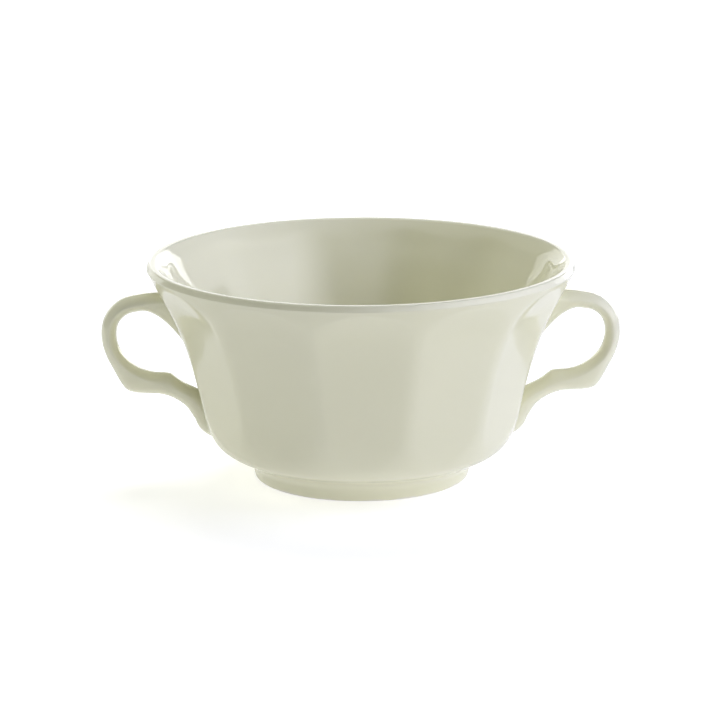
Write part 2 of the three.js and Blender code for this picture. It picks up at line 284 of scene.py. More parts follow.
class Graph:
    """Nodes of one material or world, added and linked by name."""

    def __init__(self, tree: bpy.types.NodeTree) -> None:
        """Empties a node tree to start from."""
        self.tree = tree
        self.tree.nodes.clear()

    def feed(self, target: Socket, value: object) -> None:
        """Links an input to an output socket, or sets its value."""
        if isinstance(value, Socket):
            self.tree.links.new(value, target)
        else:
            target.default_value = value

    def add(self, kind: str, settings: dict | None = None, **sockets: object) -> Node:
        """Adds a node, sets its options, and sets or links its inputs.

        Args:
            kind: Blender's name of the node type.
            settings: Options of the node.
            **sockets: Inputs by name, with _ for a space: a value, or an output socket to link.

        Returns:
            The new node.
        """
        node = self.tree.nodes.new(kind)
        for option, value in (settings or {}).items():
            setattr(node, option, value)
        for name, value in sockets.items():
            self.feed(node.inputs[name.replace("_", " ")], value)
        return node

    def maths(self, operation: str, *values: object) -> Socket:
        """Result of a sum on numbers.

        Args:
            operation: Blender's name of the operation.
            *values: Numbers, or sockets that give them.

        Returns:
            The socket of the result.
        """
        node = self.add("ShaderNodeMath", {"operation": operation})
        for socket, value in zip(node.inputs, values):
            self.feed(socket, value)
        return node.outputs["Value"]

    def blend(self, share: Socket, one: object, other: object, kind: Mixed = Mixed.COLOUR) -> Socket:
        """Colour or number between two, by a share.

        Args:
            share: How much of the second one counts.
            one: First colour or number, or a socket that gives it.
            other: Second colour or number, or a socket that gives it.
            kind: Whether they are colours or numbers.

        Returns:
            The socket of what lies between them.
        """
        data_type, first, second, result = kind.value
        node = self.add("ShaderNodeMix", {"data_type": data_type})
        for key, value in (("Factor", share), (first, one), (second, other)):
            self.feed(node.inputs[key], (*value, 1.0) if isinstance(value, tuple) else value)
        return node.outputs[result]

    def either(self, share: Socket, one: Node, other: Node) -> Node:
        """Shader that goes over from one to another, by a share.

        Args:
            share: How much of the second shader shows.
            one: Node of the first shader.
            other: Node of the second shader.

        Returns:
            The node of the mixed shader.
        """
        mix = self.add("ShaderNodeMixShader", Fac=share)
        self.feed(mix.inputs[1], one.outputs[0])
        self.feed(mix.inputs[2], other.outputs[0])
        return mix

    def seen_by(self, *rays: str) -> Socket:
        """One for a ray of any of the kinds named, and zero for the rest.

        Args:
            *rays: Kinds of ray, by Blender's names for them.

        Returns:
            The socket of the share.
        """
        path = self.add("ShaderNodeLightPath").outputs
        share = path[rays[0]]
        for ray in rays[1:]:
            share = self.maths("MAXIMUM", share, path[ray])
        return share

    def noise(self, where: Socket, grain: Grain) -> Socket:
        """Soft noise of a grain, read at some coordinates."""
        node = self.add("ShaderNodeTexNoise", Vector=where, Scale=grain.scale, Detail=grain.detail)
        return node.outputs["Fac"]

    def drift(self, where: Socket, grain: Grain, low: float, high: float) -> Socket:
        """Soft noise stretched to run from one number to another."""
        return self.ramp(self.noise(where, grain), (NOISE_LOW, low), (NOISE_HIGH, high))

    def bump(self, where: Socket, grain: Grain, depth: float, **sockets: object) -> Socket:
        """Normal of a skin with a soft noise of a depth on it."""
        node = self.add("ShaderNodeBump", Distance=depth, Height=self.noise(where, grain), **sockets)
        return node.outputs["Normal"]

    def ramp(self, value: Socket, low: Span, high: Span, smooth: bool = False) -> Socket:
        """Number carried from one range to another and held at its ends.

        Args:
            value: The number.
            low: Lower end of the old range, and what it becomes.
            high: Upper end of the old range, and what it becomes.
            smooth: Whether the ramp is eased at both ends.

        Returns:
            The socket of the new number.
        """
        kind = "SMOOTHSTEP" if smooth else "LINEAR"
        node = self.add("ShaderNodeMapRange", {"interpolation_type": kind}, Value=value,
                        From_Min=low[0], From_Max=high[0], To_Min=low[1], To_Max=high[1])
        return node.outputs["Result"]


def fresh_material(name: str) -> tuple[bpy.types.Material, Graph]:
    """New material and its empty graph.

    Args:
        name: Name of the material.

    Returns:
        The material and the graph.
    """
    material = bpy.data.materials.new(name)
    material.use_nodes = True
    return material, Graph(material.node_tree)


@dataclass(frozen=True)
class IvoryGlaze:
    """Glossy ivory glaze: paler on edges, handles and foot, partly as thin glaze and partly as painted light,
    greener where it pools, faintly rippled.

    Depths are in metres.
    """

    plain: Colour = (0.80, 0.79, 0.61)
    # Paler tone: partly glaze running thin, partly painted light that brightens edges, handles and foot.
    thin_and_lit: Colour = (0.818, 0.81, 0.64)
    pooled: Colour = (0.75, 0.745, 0.555)
    thin_and_lit_from: Span = (0.1, 0.48)
    pooled_from: Span = (0.52, 0.9)
    clouds: Grain = Grain(38.0, 2.0)
    cloud_share: float = 0.10
    gloss: Grain = Grain(140.0, 3.0)
    roughness: Span = (0.045, 0.085)
    ripple: Grain = Grain(75.0, 1.0)
    ripple_depth: float = 0.00005
    peel: Grain = Grain(620.0, 2.0)
    peel_depth: float = 0.0000035
    refraction: float = 1.52

    def skin(self, graph: Graph) -> tuple[Socket, Socket, Socket]:
        """Nodes of the glaze's colour, roughness and bump.

        Args:
            graph: The graph to add them to.

        Returns:
            The sockets of colour, roughness and normal.
        """
        where = graph.add("ShaderNodeTexCoord").outputs["Object"]
        pooling_and_light = graph.add("ShaderNodeAttribute", {"attribute_name": POOLING_AND_LIGHT}).outputs["Fac"]
        # Share of the paler tone: partly thin glaze, partly painted light on edges, handles and foot.
        edge = graph.ramp(pooling_and_light, (self.thin_and_lit_from[0], 1.0), (self.thin_and_lit_from[1], 0.0))
        hollow = graph.ramp(pooling_and_light, (self.pooled_from[0], 0.0), (self.pooled_from[1], 1.0))
        cloud = graph.drift(where, self.clouds, 0.0, self.cloud_share)
        colour = graph.blend(cloud, self.plain, self.pooled)
        colour = graph.blend(edge, colour, self.thin_and_lit)
        colour = graph.blend(hollow, colour, self.pooled)
        roughness = graph.drift(where, self.gloss, *self.roughness)
        normal = graph.bump(where, self.ripple, self.ripple_depth, Strength=1.0)
        normal = graph.bump(where, self.peel, self.peel_depth, Strength=1.0, Normal=normal)
        return colour, roughness, normal

    def gloss_over(self, graph: Graph, colour: Socket, roughness: Socket, normal: Socket) -> None:
        """Closes a material's graph with the glaze's clear gloss.

        Args:
            graph: The material's graph.
            colour: Socket of its colour.
            roughness: Socket of its roughness.
            normal: Socket of its normal.
        """
        shader = graph.add("ShaderNodeBsdfPrincipled", Base_Color=colour, Roughness=roughness,
                           Normal=normal, IOR=self.refraction)
        graph.add("ShaderNodeOutputMaterial", Surface=shader.outputs["BSDF"])

    def material(self) -> bpy.types.Material:
        """The glaze as a material.

        Returns:
            The new material.
        """
        material, graph = fresh_material("ivory_glaze")
        self.gloss_over(graph, *self.skin(graph))
        return material


@dataclass(frozen=True)
class WipedFoot:
    """The glaze with a land wiped bare before firing, so that the foot shows matt white clay.

    Heights and depths are in metres.
    """

    glaze: IvoryGlaze = IvoryGlaze()
    clay: Colour = (0.83, 0.81, 0.75)
    clay_roughness: float = 0.72
    wiped_to: float = 0.00042
    wiped_blur: float = 0.00006
    wobble: Grain = Grain(170.0, 2.0)
    wobble_height: float = 0.00032
    grit: Grain = Grain(2600.0, 4.0)
    grit_depth: float = 0.00002

    def material(self) -> bpy.types.Material:
        """The wiped foot as a material.

        Returns:
            The new material.
        """
        material, graph = fresh_material("wiped_foot")
        colour, roughness, normal = self.glaze.skin(graph)
        where = graph.add("ShaderNodeTexCoord").outputs["Object"]
        height = graph.add("ShaderNodeSeparateXYZ", Vector=where).outputs["Z"]
        wave = graph.drift(where, self.wobble, -self.wobble_height, self.wobble_height)
        above = graph.maths("ADD", height, wave)
        low, high = self.wiped_to - self.wiped_blur, self.wiped_to + self.wiped_blur
        bare = graph.ramp(above, (low, 1.0), (high, 0.0), smooth=True)
        colour = graph.blend(bare, colour, self.clay)
        roughness = graph.blend(bare, roughness, self.clay_roughness, Mixed.NUMBER)
        normal = graph.bump(where, self.grit, self.grit_depth, Strength=bare, Normal=normal)
        self.glaze.gloss_over(graph, colour, roughness, normal)
        return material


@dataclass
class Bowl:
    """The panelled bowl: flat panels with soft edges and arched tops under a round flared lip."""

    height: float = 61.5
    rim_radius: float = 59.5
    lip_face: float = 1.6
    lip_lean: float = 0.75
    lip_width: float = 2.45
    lip_flare: float = math.radians(25.6)
    inner_flare: float = math.radians(41.0)
    inner_softness: float = 1.2
    lip_roundings: tuple[float, ...] = (0.3, 0.5, 0.6)
    lip_depth: float = 1.2
    lip_overlap: float = 0.05
    panels: int = 12
    edge_radius: float = 9.5
    inside_edge_radius: float = 26.0
    arch_peak_drop: float = 3.0
    arch_cusp_drop: float = 7.0
    cove_height: float = 8.5
    cove_softness: float = 0.07
    cove_overrun: float = 1.5
    fade_top: float = 20.0
    fade_bottom: float = 8.0
    turn_height: float = 18.0
    turn_radius: float = 43.3
    wall_taper: float = math.radians(11.3)
    flare: float = math.radians(28.8)
    seat_radius: float = 31.2
    seat_rise: float = math.radians(16.0)
    turn_lower_pull: float = 10.6
    turn_upper_pull: float = 8.2
    wall_thickness: float = 3.4
    floor_thickness: float = 3.8
    floor_radius: float = 22.0
    foot_height: float = 5.6
    unevenness: float = 0.05
    even_within: Span = (5.0, 40.0)
    flow: GlazeFlow = GlazeFlow(neutral=0.01, span=0.16, passes=5)
    columns: int = 336
    floor_rows: int = 10
    turn_rows: int = 34
    wall_rows: int = 46
    cove_rows: int = 34
    band_rows: int = 9
    inside_rows: int = 52
    corner_points: int = 9
    half_panel: float = field(init=False)
    cusp_apothem: float = field(init=False)

    # Share, turns round the axis, climb to a millimetre and start of each slow wave in the wall.
    WAVES = ((1.0, 3.0, 0.13, 0.7), (0.7, 5.0, -0.19, 2.1), (0.5, 8.0, 0.31, 4.0))

    def __post_init__(self) -> None:
        """Works out what follows from the sizes."""
        self.half_panel = math.pi / self.panels
        corner = float(self.band_radius(self.cusp_height))
        self.cusp_apothem = corner * math.cos(self.half_panel)
        self.cusp_apothem += self.edge_radius * (1.0 - math.cos(self.half_panel))

    @property
    def cusp_height(self) -> float:
        """Height of the cusps between the arches."""
        return self.height - self.arch_cusp_drop

    @property
    def band_top(self) -> float:
        """Height at which the outer band starts to turn into the lip."""
        return self.height - self.lip_face - 2.0 * self.lip_roundings[0]

    @property
    def inner_top(self) -> float:
        """Height at which the inner band has become straight."""
        return self.height - self.lip_depth

    @property
    def cove_start(self) -> float:
        """Height at which the cove over the panels may start."""
        return self.cusp_height - self.cove_height

    @property
    def floor_height(self) -> float:
        """Height of the floor inside."""
        return self.foot_height + self.floor_thickness

    @property
    def upper_pull(self) -> np.ndarray:
        """Pull of a bottom curve along the wall that it runs into."""
        return self.turn_upper_pull * np.array([math.sin(self.wall_taper), math.cos(self.wall_taper)])

    def lip_section(self) -> np.ndarray:
        """The lip's section: an outer face that leans in and a level top, with each corner rounded.

        Every corner is a parabola between points at its own distance before and after it.

        Returns:
            Radius and height, one point to a row, from the outer band over the top to the inner.
        """
        low, knee = self.band_top - self.lip_overlap, self.height - self.lip_face
        path = np.array([
            [float(self.band_radius(low)), low],
            [self.rim_radius, knee],
            [self.rim_radius - self.lip_lean, self.height],
            [self.rim_radius - self.lip_width, self.height],
            [float(self.inner_band_radius(self.inner_top)), self.inner_top],
        ])
        corners = zip(path[:-2], path[1:-1], path[2:], self.lip_roundings)
        turns = [parabola(toward(bend, before, cut), bend, toward(bend, after, cut), self.corner_points)
                 for before, bend, after, cut in corners]
        return np.vstack([path[0], *turns, path[-1]])

    def band_radius(self, z: np.ndarray | float) -> np.ndarray:
        """Radius of the straight band under the lip, outside."""
        return self.rim_radius - (self.height - self.lip_face - np.asarray(z)) * math.tan(self.lip_flare)

    def inner_band_radius(self, z: np.ndarray | float) -> np.ndarray:
        """Radius of the straight band under the lip, inside."""
        return self.rim_radius - self.lip_width - (self.height - np.asarray(z)) * math.tan(self.inner_flare)

    def off_panel(self, angle: np.ndarray) -> np.ndarray:
        """Angle from the middle of the nearest panel."""
        pitch = 2.0 * self.half_panel
        return np.abs(angle - np.round(angle / pitch) * pitch)

    def panel_radius(self, apothem: np.ndarray, edge: np.ndarray, angle: np.ndarray) -> np.ndarray:
        """Outline of a regular polygon with rounded corners.

        On the flat of a panel the radius is the apothem over the cosine of the angle off its
        middle. Past it, it is where the ray meets the corner's circle. An edge radius equal to
        the apothem makes the outline a circle.

        Args:
            apothem: Axis to the middle of a panel.
            edge: Radius of the rounded corners.
            angle: Angles round the axis.

        Returns:
            The radius at each angle.
        """
        off = self.off_panel(angle)
        flat_half = np.arctan((apothem - edge) * math.tan(self.half_panel) / apothem)
        centre = (apothem - edge) / math.cos(self.half_panel)
        swing = self.half_panel - off
        side = np.minimum(centre * np.sin(swing), edge)
        corner = centre * np.cos(swing) + np.sqrt(edge**2 - side**2)
        return np.where(off <= flat_half, apothem / np.cos(off), corner)

    def wall_apothem(self, z: np.ndarray) -> np.ndarray:
        """Axis to panel above the bottom curve.

        A cubic leaves the bottom curve at the wall's taper and reaches the cusps at the flare,
        and goes straight on beyond both ends.

        Args:
            z: Heights.

        Returns:
            The apothem at each height.
        """
        rise = self.cusp_height - self.turn_height
        low, high = rise * math.tan(self.wall_taper), rise * math.tan(self.flare)
        share = (np.asarray(z) - self.turn_height) / rise
        t = np.clip(share, 0.0, 1.0)
        from_turn = (1.0 + 2.0 * t) * self.turn_radius + t * low
        from_cusp = (3.0 - 2.0 * t) * self.cusp_apothem - (1.0 - t) * high
        cubic = (1.0 - t) ** 2 * from_turn + t**2 * from_cusp
        return cubic + np.minimum(share, 0.0) * low + np.maximum(share - 1.0, 0.0) * high

    def panelled(self, angle: np.ndarray, z: np.ndarray, apothem: np.ndarray, edge: float) -> np.ndarray:
        """Outline of panels whose corners' rounding grows to a full circle towards the bottom."""
        rounding = apothem + (edge - apothem) * smoothstep(z, self.fade_bottom, self.fade_top)
        return self.panel_radius(apothem, rounding, angle)

    def bottom_corners(self) -> np.ndarray:
        """Corners of the outer bottom curve, from the foot ring's seat to the wall.

        Returns:
            Four rows of radius and height.
        """
        low = np.array([self.seat_radius, self.foot_height])
        high = np.array([self.turn_radius, self.turn_height])
        leave = self.turn_lower_pull * np.array([math.cos(self.seat_rise), math.sin(self.seat_rise)])
        return np.array([low, low + leave, high - self.upper_pull, high])

    def bottom_curve(self) -> np.ndarray:
        """Outer bottom curve, as close points of radius and height."""
        return bezier(self.bottom_corners(), np.linspace(0.0, 1.0, CURVE_STEPS))

    def inside_bottom_corners(self) -> np.ndarray:
        """Corners of the inner bottom curve, from the wall down to the floor.

        Returns:
            Four rows of radius and height.
        """
        top_height = self.turn_height + self.wall_thickness
        top = np.array([float(self.inside_apothem(np.array(top_height))), top_height])
        low = np.array([self.floor_radius, self.floor_height])
        return np.array([top, top - self.upper_pull, low + np.array([self.turn_lower_pull, 0.0]), low])

    def arch_height(self, angle: np.ndarray) -> np.ndarray:
        """Top line of the arches: a parabola over each panel, meeting its neighbours in cusps."""
        share = (self.off_panel(angle) / self.half_panel) ** 2
        return self.height - self.arch_peak_drop + share * (self.arch_peak_drop - self.arch_cusp_drop)

    def wall_radius(self, angle: np.ndarray, z: np.ndarray) -> np.ndarray:
        """Outside of the wall: panels that curve out to the band under their arches.

        The panel goes over to the band by the square of the height within the cove, and a soft
        maximum rounds the line of the arch, as glaze does.

        Args:
            angle: Angles round the axis.
            z: Heights.

        Returns:
            The radius at each angle and height.
        """
        apothem = self.wall_apothem(z)
        panel = self.panelled(angle, z, apothem, self.edge_radius)
        up = np.maximum((z - self.arch_height(angle)) / self.cove_height + 1.0, 0.0)
        short = 1.0 - np.minimum(up, self.cove_overrun) ** 2
        soft = np.where(up > 0.0, self.cove_softness, 0.0)
        start = 0.5 * (np.sqrt(1.0 + soft**2) - 1.0) * np.maximum(1.0 - up, 0.0)
        cove = 1.0 - 0.5 * (short + np.sqrt(short**2 + soft**2)) + start
        return panel + np.clip(cove, 0.0, 1.0) * (self.band_radius(z) - panel)

    def outside_radius(self, angle: np.ndarray, z: np.ndarray) -> np.ndarray:
        """Outside of the bowl at any height from the foot ring's seat to the lip.

        Args:
            angle: Angles round the axis.
            z: Heights.

        Returns:
            The radius at each angle and height.
        """
        curve = self.bottom_curve()
        low = np.interp(z, curve[:, 1], curve[:, 0])
        bottom = self.panelled(angle, z, low, self.edge_radius)
        return np.where(z < self.turn_height, bottom, self.wall_radius(angle, z))

    def inside_apothem(self, z: np.ndarray) -> np.ndarray:
        """Axis to panel inside, with the wall's thickness measured square to its lean."""
        step = self.wall_thickness
        lean = (self.wall_apothem(z + step) - self.wall_apothem(z - step)) / (2.0 * step)
        return self.wall_apothem(z) - self.wall_thickness * np.hypot(1.0, lean)

    def inside_radius(self, angle: np.ndarray, z: np.ndarray) -> np.ndarray:
        """Inside of the wall: soft panels that become round under the lip.

        The larger of the panel's and the inner band's radius counts. Half the sum of their
        difference and the root of its square plus a softness squared rounds the line between
        them, and the softness fades in below that line and out above it.

        Args:
            angle: Angles round the axis.
            z: Heights.

        Returns:
            The radius at each angle and height.
        """
        apothem = self.inside_apothem(z)
        panel = self.panelled(angle, z, apothem, self.inside_edge_radius)
        beyond = self.inner_band_radius(z) - panel
        soft = self.inner_softness * smoothstep(z, self.cove_start, self.cusp_height)
        soft = soft * (1.0 - smoothstep(z, self.cusp_height, self.inner_top))
        return panel + 0.5 * (beyond + np.sqrt(beyond**2 + soft**2))

    def uneven(self, angle: np.ndarray, z: np.ndarray) -> np.ndarray:
        """Slight waves of a cast wall: a few slow sines round the axis and up the wall."""
        sines = (share * np.sin(turns * angle + climb * z + at) for share, turns, climb, at in self.WAVES)
        return self.unevenness * sum(sines)

    def outline(self, angle: np.ndarray) -> tuple[np.ndarray, np.ndarray]:
        """Radius and height of every row, from under the floor, over the lip, to the floor inside.

        Args:
            angle: Angles of the columns, as one row.

        Returns:
            The radii and the heights, rows by columns.
        """

        def share(count: int, first: bool = False) -> np.ndarray:
            """Equal steps to 1 as a column, with or without 0."""
            return np.linspace(0.0, 1.0, count + 1)[0 if first else 1:, None]

        def curved(corners: np.ndarray, t: np.ndarray, edge: float) -> tuple[np.ndarray, np.ndarray]:
            """Rows of a bottom curve, panelled as its height asks."""
            apothem, z = np.hsplit(bezier(corners, t[:, 0]), 2)
            return self.panelled(angle, z, apothem, edge), z

        arch, inner_low = self.arch_height(angle), self.turn_height + self.wall_thickness
        under = self.seat_radius * share(self.floor_rows)[:-1]
        wall_z = self.turn_height + share(self.wall_rows) * (self.cove_start - self.turn_height)
        arch_z = self.cove_start + share(self.cove_rows) * (arch - self.cove_start)
        band_z = arch + share(self.band_rows)[:-1] * (self.band_top - arch)
        inside_z = self.inner_top + share(self.inside_rows) * (inner_low - self.inner_top)
        floor = self.floor_radius * (1.0 - share(self.floor_rows)[:-1])
        blocks = [
            (under, self.foot_height),
            curved(self.bottom_corners(), share(self.turn_rows, True), self.edge_radius),
            (self.wall_radius(angle, wall_z), wall_z),
            (self.wall_radius(angle, arch_z), arch_z),
            (self.wall_radius(angle, band_z), band_z),
            np.hsplit(self.lip_section(), 2),
            (self.inside_radius(angle, inside_z), inside_z),
            curved(self.inside_bottom_corners(), share(self.turn_rows), self.inside_edge_radius),
            (floor, self.floor_height),
        ]
        rows = [np.broadcast_arrays(radius, z, angle) for radius, z in blocks]
        return np.vstack([block[0] for block in rows]), np.vstack([block[1] for block in rows])

    def points(self) -> np.ndarray:
        """The bowl's whole skin on a grid: angle round the axis, and row along its outline.

        Returns:
            Rows by columns by three.
        """
        angle = angles_round(self.columns)
        radius, z = self.outline(angle)
        return turned(radius + self.uneven(angle, z) * smoothstep(radius, *self.even_within), angle, z)

    def build(self, finish: bpy.types.Material) -> bpy.types.Object:
        """Makes the bowl and dresses it in its glaze."""
        points = self.points()
        return seat(surface("glazed_bowl", points, self.flow.pooling_and_light(points)), "cup_bowl", finish)


@dataclass
class FootRing:
    """The round foot: a turned section with a bare land, and curves up to the bowl on both sides."""

    bowl: Bowl
    radius: float = 30.0
    wall: float = 4.2
    edge_radius: float = 0.8
    swell: float = 0.05
    lean: float = 1.35
    reach: float = 5.6
    fillet: float = 2.6
    bury: float = 0.015
    tail: tuple[Span, ...] = ((0.5, 0.08), (1.0, 0.3))
    inner_fillet: float = 1.7
    sunk: float = 0.35
    sunk_laps: Span = (1.0, 0.2)
    # A neutral value far below the ring's curvature gives most of the foot the paler thin tone: painted
    # light, as from beneath.
    flow: GlazeFlow = GlazeFlow(neutral=-0.45, span=1.0, passes=3)
    edge_points: int = 14
    fillet_points: int = 24
    inner_points: int = 16
    section_points: int = 112
    columns: int = 288

    def section(self) -> np.ndarray:
        """Outline of the ring's section, going round so that its faces point outwards.

        A quarter circle at the land, a straight wall that leans out, a parabola that leaves the
        wall and runs on along the bowl's underside, and inside a quarter circle into the recess.
        The parabola's corner is where the wall's line meets the line that touches the underside
        at its end, and a hidden tail dips on into the bowl. The top lies just inside the bowl.

        Returns:
            Radius and height, one point to a row.
        """
        top, inner, edge = self.bowl.foot_height, self.radius - self.wall, self.edge_radius
        land = np.array([self.radius + self.swell, edge])
        lean = self.lean / (top - edge)
        under_r, under_z = self.bowl.bottom_curve().T
        far = self.bowl.seat_radius + self.reach
        level = np.interp(far, under_r, under_z) + self.bury
        rise = np.interp(far, under_r, np.gradient(under_z, under_r))
        meet = (land[0] + lean * (level - rise * far - edge)) / (1.0 - rise * lean)
        corner, end = np.array([meet, level - rise * (far - meet)]), np.array([far, level])
        recess, deep = inner - self.inner_fillet, top + self.sunk
        outer_lap, inner_lap = self.sunk_laps
        return np.vstack([
            arc((land[0] - edge, edge), edge, -90.0, 0.0, self.edge_points),
            parabola(toward(corner, land, self.fillet), corner, end, self.fillet_points),
            [end + np.array([run, run * rise + dip]) for run, dip in self.tail],
            [[self.bowl.seat_radius - outer_lap, deep], [recess - inner_lap, deep]],
            arc((recess, top - self.inner_fillet), self.inner_fillet, 90.0, 0.0, self.inner_points),
            arc((inner + edge, edge), edge, 180.0, 270.0, self.edge_points),
        ])

    def points(self) -> np.ndarray:
        """The ring on a grid: place along the section, and angle round the axis.

        Returns:
            Rows by columns by three.
        """
        outline = self.section()
        outline, _ = even_steps(np.vstack([outline, outline[:1]]), self.section_points, endpoint=False)
        radius, z = np.hsplit(outline, 2)
        return turned(radius, angles_round(self.columns), z)

    def build(self, finish: bpy.types.Material) -> bpy.types.Object:
        """Makes the foot ring and dresses it.

        Args:
            finish: Its wiped glaze.

        Returns:
            The ring's object.
        """
        points = self.points()
        pooling_and_light = self.flow.pooling_and_light(points, ring=True)
        return seat(surface("glazed_foot_ring", points, pooling_and_light, ring=True), "foot_ring", finish)


class Side(Enum):
    """Side of the cup that a handle is on, with its turn round the axis."""

    RIGHT = 0.0
    LEFT = math.pi

    @property
    def word(self) -> str:
        """The side's name as it stands in the names of pieces."""
        return self.name.lower()


@dataclass(frozen=True)
class Spread:
    """How a root widens: its depth at the end of the strap, and the run over which that dies away."""

    depth: float
    run: float


@dataclass(frozen=True)
class Ridge:
    """A rounded ridge across the strap: its place as a share of the length, its height and two slopes."""

    place: float
    height: float
    rise: float
    fall: float


@dataclass
class EarHandle:
    """An ear handle: a lens-shaped strap round a loop, with a spur below and a bead inside."""

    bowl: Bowl
    side: Side
    stand_off: float = 21.2
    upper_root_drop: float = 11.4
    lower_root_height: float = 18.5
    loop_thickness: float = 4.15
    arm_thickness: float = 5.0
    strap_width: float = 7.6
    fullness: float = 1.25
    root_widening: Spread = Spread(2.4, 16.5)
    upper_spread: Spread = Spread(16.5, 16.5)
    upper_crown: Spread = Spread(3.7, 12.0)
    lower_spread: Spread = Spread(5.0, 24.0)
    flare_fade: float = 1.8
    spur: Ridge = Ridge(0.566, 3.0, 6.8, 9.5)
    bead: Ridge = Ridge(0.68, 1.2, 6.0, 3.4)
    heel: Ridge = Ridge(0.875, 1.2, 17.0, 6.5)
    ridge_drop: float = 2.0
    ridge_fade: float = 1.6
    root_depth: float = 8.0
    lower_root_depth: float = 8.4
    lower_root_dip: float = 7.8
    slip_radius: float = 1.1
    sunk: float = 0.8
    lean_step: float = 0.3
    clear_between: Span = (0.3, 0.75)
    # A low neutral value gives most of the strap the paler thin tone: painted light that brightens the
    # handles.
    flow: GlazeFlow = GlazeFlow(neutral=0.06, span=0.3, passes=4)
    curve_steps: int = 4000
    line_steps: int = 2000
    stations: int = 220
    columns: int = 72
    line: np.ndarray = field(init=False)
    length: float = field(init=False)

    # Share of the stand-off from the wall, and of the height between the roots, of each point of the loop.
    SHAPE = (
        (0.15, 0.997), (0.41, 0.984), (0.65, 0.945), (0.87, 0.84), (1.0, 0.69), (1.02, 0.537), (0.945, 0.422),
        (0.81, 0.336), (0.635, 0.281), (0.475, 0.247), (0.31, 0.198), (0.13, 0.11), (0.017, -0.013),
        (-0.055, -0.13),
    )

    def __post_init__(self) -> None:
        """Works out the strap's middle line."""
        self.line, self.length = self.middle_line()

    def middle_line(self) -> tuple[np.ndarray, float]:
        """Middle of the strap at equal steps of its length, in the plane of the handle.

        A Catmull-Rom curve runs through points that are shares of the stand-off from the wall and
        of the height between the roots, with one end point inside the wall at each root.

        Returns:
            Radius, height and the two parts of the outward direction, one station to a row, and
            the line's length.
        """
        upper = self.bowl.height - self.upper_root_drop
        out, up = np.array(self.SHAPE).T
        z = self.lower_root_height + up * (upper - self.lower_root_height)
        knots = np.stack([self.bowl.wall_apothem(z) + out * self.stand_off, z], axis=-1)
        start = [float(self.bowl.wall_apothem(upper)) - self.root_depth, upper]
        end = [float(self.bowl.wall_apothem(self.lower_root_height)) - self.lower_root_depth,
               self.lower_root_height - self.lower_root_dip]
        knots = np.vstack([start, knots, end])
        knots = np.vstack([2.0 * knots[0] - knots[1], knots, 2.0 * knots[-1] - knots[-2]])
        t = np.linspace(0.0, len(knots) - 3.0, self.curve_steps)
        first = np.minimum(t.astype(int), len(knots) - 4)
        w = (t - first)[:, None]
        a, b, c, d = (knots[first + step] for step in range(4))
        square, cube = 2 * a - 5 * b + 4 * c - d, 3 * b - a - 3 * c + d
        curve = 0.5 * (2 * b + (c - a) * w + square * w**2 + cube * w**3)
        line, length = even_steps(curve, self.line_steps)
        along = np.gradient(line, axis=0)
        along /= np.linalg.norm(along, axis=1, keepdims=True)
        return np.hstack([line, np.stack([-along[:, 1], along[:, 0]], axis=-1)]), length

    def fade(self, distance: np.ndarray, spread: Spread) -> np.ndarray:
        """A root's spread, dying away by a power of the distance left in its run."""
        return spread.depth * np.maximum(0.0, 1.0 - distance / spread.run) ** self.flare_fade

    def ridge(self, done: np.ndarray, form: Ridge) -> np.ndarray:
        """What a ridge adds: its height, falling off on each side like a bell curve.

        Args:
            done: Length of strap from its start.
            form: The ridge.

        Returns:
            What the ridge adds at each place.
        """
        distance = done - form.place * self.length
        slope = np.where(distance < 0.0, form.rise, form.fall)
        return form.height * np.exp(-self.ridge_drop * np.abs(distance / slope) ** self.ridge_fade)

    def plain(self, done: np.ndarray, turn: np.ndarray) -> tuple[np.ndarray, np.ndarray]:
        """The strap before its roots get their slip: a lens section carried along the middle line.

        Its depth goes by a power of the cosine of the turn round the section, and its width by
        the sine. Outer and inner side have their own depth.

        Args:
            done: Length of strap from its start.
            turn: Angle round the section, from outward.

        Returns:
            The points and, at each of them, the direction away from the section's middle.
        """
        even = np.linspace(0.0, self.length, len(self.line))
        x, z, out_x, out_z = (np.interp(done, even, self.line[:, axis]) for axis in range(4))
        left = self.length - done
        shift = np.sin(np.pi * done / self.length) ** 2
        half = 0.5 * (self.arm_thickness + (self.loop_thickness - self.arm_thickness) * shift)
        outer = half + self.fade(done, self.upper_crown)
        outer = outer + self.ridge(done, self.spur) + self.ridge(done, self.heel)
        inner = half + self.fade(done, self.upper_spread) + self.fade(left, self.lower_spread)
        inner = inner + self.ridge(done, self.bead)
        width = 0.5 * self.strap_width + self.fade(np.minimum(done, left), self.root_widening)
        reach = np.where(np.cos(turn) > 0.0, outer, -inner)
        depth = reach * np.abs(np.cos(turn)) ** self.fullness
        points = np.stack([x + out_x * depth, -width * np.sin(turn), z + out_z * depth], axis=-1)
        away = np.stack([out_x * np.cos(turn), -np.sin(turn), out_z * np.cos(turn)], axis=-1)
        return points, away

    def clear_of_wall(self, points: np.ndarray) -> np.ndarray:
        """Distance of points outside the bowl's wall, measured square to its lean.

        Args:
            points: Points in the plane of a handle on the right.

        Returns:
            The distances, negative inside the wall.
        """
        x, y, z = np.moveaxis(points, -1, 0)
        angle, step = np.arctan2(y, x), self.lean_step
        below, here, above = (self.bowl.outside_radius(angle, z + shift) for shift in (-step, 0.0, step))
        return (np.hypot(x, y) - here) / np.hypot(1.0, (above - below) / (2.0 * step))

    def slipped(self, done: np.ndarray, turn: np.ndarray) -> np.ndarray:
        """The strap with slip at its roots: its sides swing out to the wall in a quarter circle.

        Args:
            done: Length of strap from its start.
            turn: Angle round the section, from outward.

        Returns:
            The points.
        """
        points, away = self.plain(done, turn)
        gap = np.clip(self.clear_of_wall(points) / self.slip_radius, 0.0, 1.0)
        swell = self.slip_radius * (1.0 - np.sqrt(1.0 - (1.0 - gap) ** 2))
        sideways = away[..., 1] ** 2
        return points + (swell * sideways)[..., None] * away

